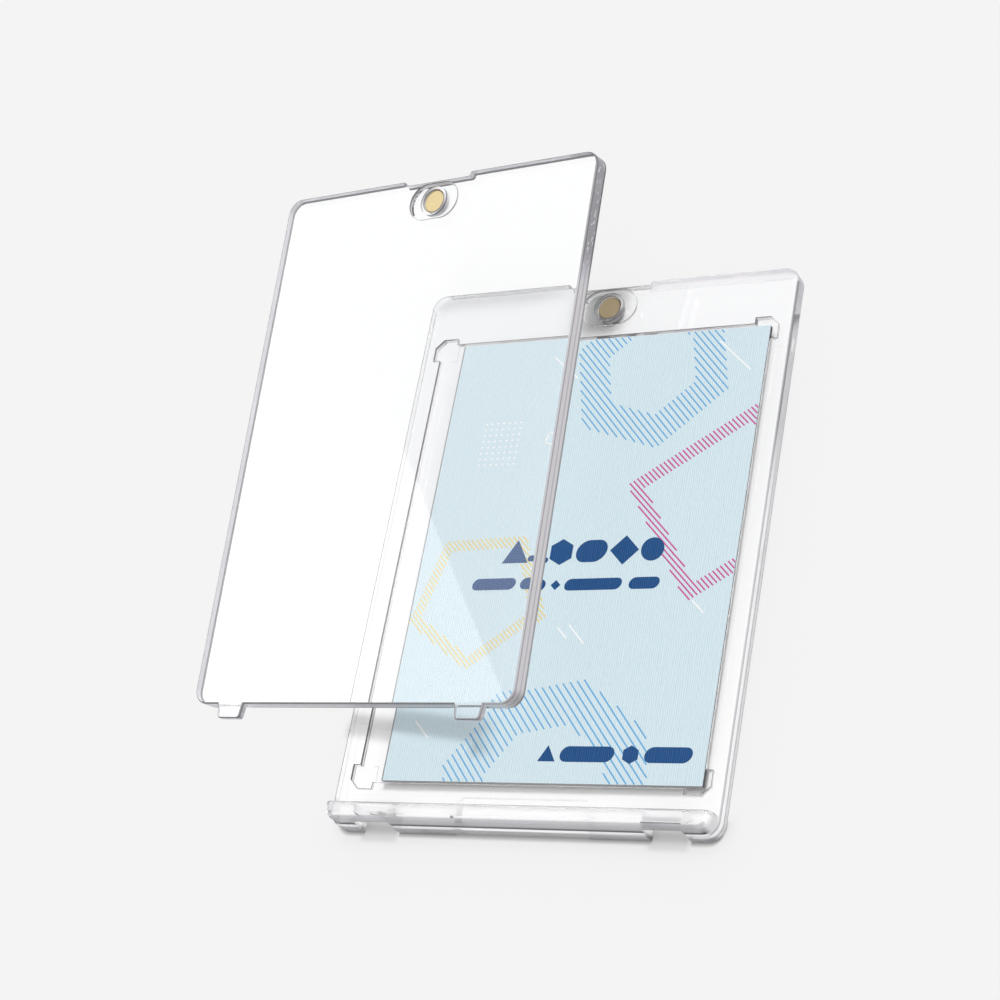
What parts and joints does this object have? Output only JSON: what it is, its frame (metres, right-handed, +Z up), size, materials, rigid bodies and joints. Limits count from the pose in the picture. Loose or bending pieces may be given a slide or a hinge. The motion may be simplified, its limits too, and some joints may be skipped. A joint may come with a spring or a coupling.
{
  "type": "trading card display case",
  "caption": "Clear card display case: base with card pocket and slotted front rail, and a tabbed cover that closes on magnets, shown taken off and turned over.",
  "frame": {"origin": "centre of the card pocket, on the plane of the base's underside", "axes": "+Z up out of the base's face, +Y along the holder towards the magnets, +X across it to the right"},
  "size_m": [0.1128, 0.1287, 0.0266],
  "materials": {
    "clear_shell": "clear, polished",
    "magnet_plating": "satin gold-coloured plating",
    "card_stock": "printed, fine linen texture"
  },
  "bodies": {
    "base": {"base_shell": "clear_shell", "base_magnet": "magnet_plating"},
    "card": {"card": "card_stock"},
    "cover": {"cover_shell": "clear_shell", "cover_magnet": "magnet_plating"}
  },
  "joints": [
    {"name": "cover_lift", "type": "slide", "parent": "base", "child": "cover", "axis": [0, 0, 1], "range_m": [0, 0.06]},
    {"name": "card_lift", "type": "slide", "parent": "base", "child": "card", "axis": [0, 0, 1], "range_m": [0, 0.002]}
  ]
}
